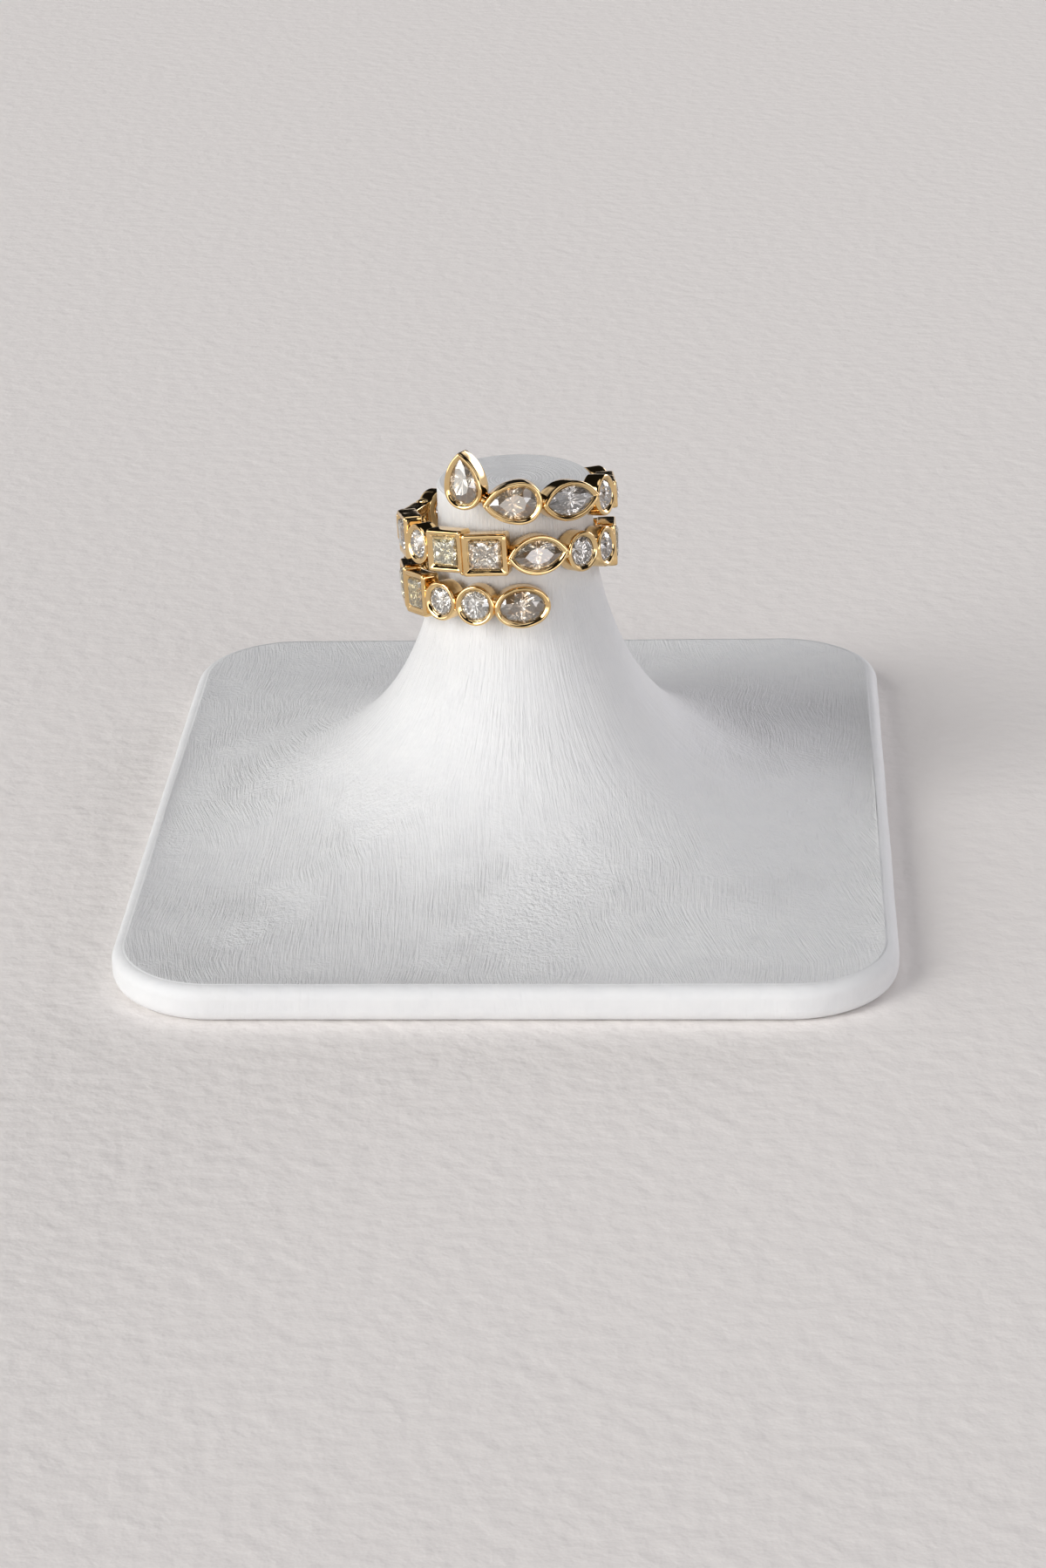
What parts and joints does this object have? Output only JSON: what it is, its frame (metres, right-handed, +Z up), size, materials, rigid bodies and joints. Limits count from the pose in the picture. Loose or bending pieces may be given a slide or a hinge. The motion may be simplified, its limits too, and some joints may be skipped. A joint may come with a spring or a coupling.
{
  "type": "spiral ring on ring stand",
  "caption": "Spiral ring of bezel-set stones in mixed cuts, ending in an upright pear, hanging on the column of a small painted ring stand.",
  "frame": {"origin": "centre of the stand's underside", "axes": "+Z up along the stand's column, -Y towards the front, where both ends of the spiral are, +X to the viewer's right"},
  "size_m": [0.075, 0.088, 0.0439],
  "materials": {
    "polished_gold": "polished yellow gold",
    "diamond_white": "cut and polished",
    "diamond_grey": "cut and polished",
    "diamond_champagne": "cut and polished",
    "diamond_yellow": "cut and polished",
    "brushed_white_paint": "thick matt white paint with brush strokes"
  },
  "bodies": {
    "root": {"baguette_stone_21": "diamond_white", "baguette_stone_28": "diamond_white", "gold_setting": "polished_gold", "marquise_stone_16": "diamond_grey", "marquise_stone_30": "diamond_grey", "oval_stone_01": "diamond_champagne", "oval_stone_07": "diamond_champagne", "pear_stone_31": "diamond_champagne", "pear_stone_32": "diamond_champagne", "ring_stand": "brushed_white_paint", "round_stone_02": "diamond_white", "round_stone_03": "diamond_white", "round_stone_06": "diamond_white", "round_stone_08": "diamond_white", "round_stone_09": "diamond_grey", "round_stone_11": "diamond_white", "round_stone_12": "diamond_grey", "round_stone_14": "diamond_grey", "round_stone_15": "diamond_grey", "round_stone_19": "diamond_white", "round_stone_22": "diamond_grey", "round_stone_24": "diamond_white", "round_stone_26": "diamond_white", "round_stone_27": "diamond_grey", "round_stone_29": "diamond_grey", "square_stone_04": "diamond_yellow", "square_stone_05": "diamond_yellow", "square_stone_10": "diamond_yellow", "square_stone_13": "diamond_yellow", "square_stone_17": "diamond_champagne", "square_stone_18": "diamond_yellow", "square_stone_20": "diamond_white", "square_stone_23": "diamond_yellow", "square_stone_25": "diamond_champagne"}
  },
  "joints": []
}
